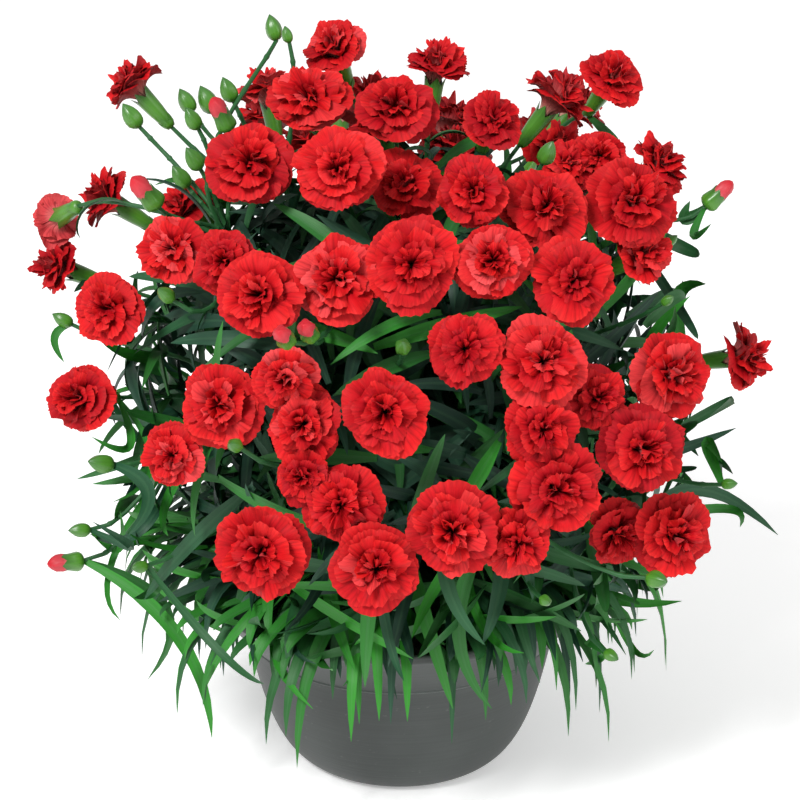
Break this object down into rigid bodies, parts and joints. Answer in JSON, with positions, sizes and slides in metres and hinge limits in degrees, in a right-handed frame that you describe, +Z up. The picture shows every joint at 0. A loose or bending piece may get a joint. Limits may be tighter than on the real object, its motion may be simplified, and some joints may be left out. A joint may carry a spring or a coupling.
{
  "type": "potted dianthus",
  "caption": "Bushy red double dianthus in a dark grey round patio bowl, with buds and strap leaves.",
  "frame": {"origin": "centre of the bowl's flat foot, where it meets the table", "axes": "+Z up, -Y the front that the picture shows, +X to its right"},
  "size_m": [0.3915, 0.3555, 0.4085],
  "materials": {
    "bowl_grey": "satin",
    "potting_soil": "matte",
    "leaf_green": "satin",
    "petal_red": "matte"
  },
  "bodies": {
    "root": {"bloom_01": "petal_red", "bloom_02": "petal_red", "bloom_03": "petal_red", "bloom_04": "petal_red", "bloom_05": "petal_red", "bloom_06": "petal_red", "bloom_07": "petal_red", "bloom_08": "petal_red", "bloom_09": "petal_red", "bloom_10": "petal_red", "bloom_12": "petal_red", "bloom_13": "petal_red", "bloom_14": "petal_red", "bloom_15": "petal_red", "bloom_16": "petal_red", "bloom_18": "petal_red", "bloom_19": "petal_red", "bloom_20": "petal_red", "bloom_21": "petal_red", "bloom_22": "petal_red", "bloom_23": "petal_red", "bloom_24": "petal_red", "bloom_25": "petal_red", "bloom_26": "petal_red", "bloom_27": "petal_red", "bloom_28": "petal_red", "bloom_29": "petal_red", "bloom_30": "petal_red", "bloom_32": "petal_red", "bloom_33": "petal_red", "bloom_34": "petal_red", "bloom_35": "petal_red", "bloom_36": "petal_red", "bloom_37": "petal_red", "bloom_38": "petal_red", "bloom_39": "petal_red", "bloom_40": "petal_red", "bloom_43": "petal_red", "bloom_44": "petal_red", "bloom_52": "petal_red", "bloom_54": "petal_red", "bloom_55": "petal_red", "bloom_56": "petal_red", "bloom_57": "petal_red", "bloom_58": "petal_red", "bloom_59": "petal_red", "bloom_60": "petal_red", "bloom_61": "petal_red", "bloom_62": "petal_red", "bloom_63": "petal_red", "bloom_64": "petal_red", "bloom_65": "petal_red", "bloom_66": "petal_red", "bloom_67": "petal_red", "bloom_68": "petal_red", "bowl": "bowl_grey", "bush": "leaf_green", "soil": "potting_soil"}
  },
  "joints": []
}
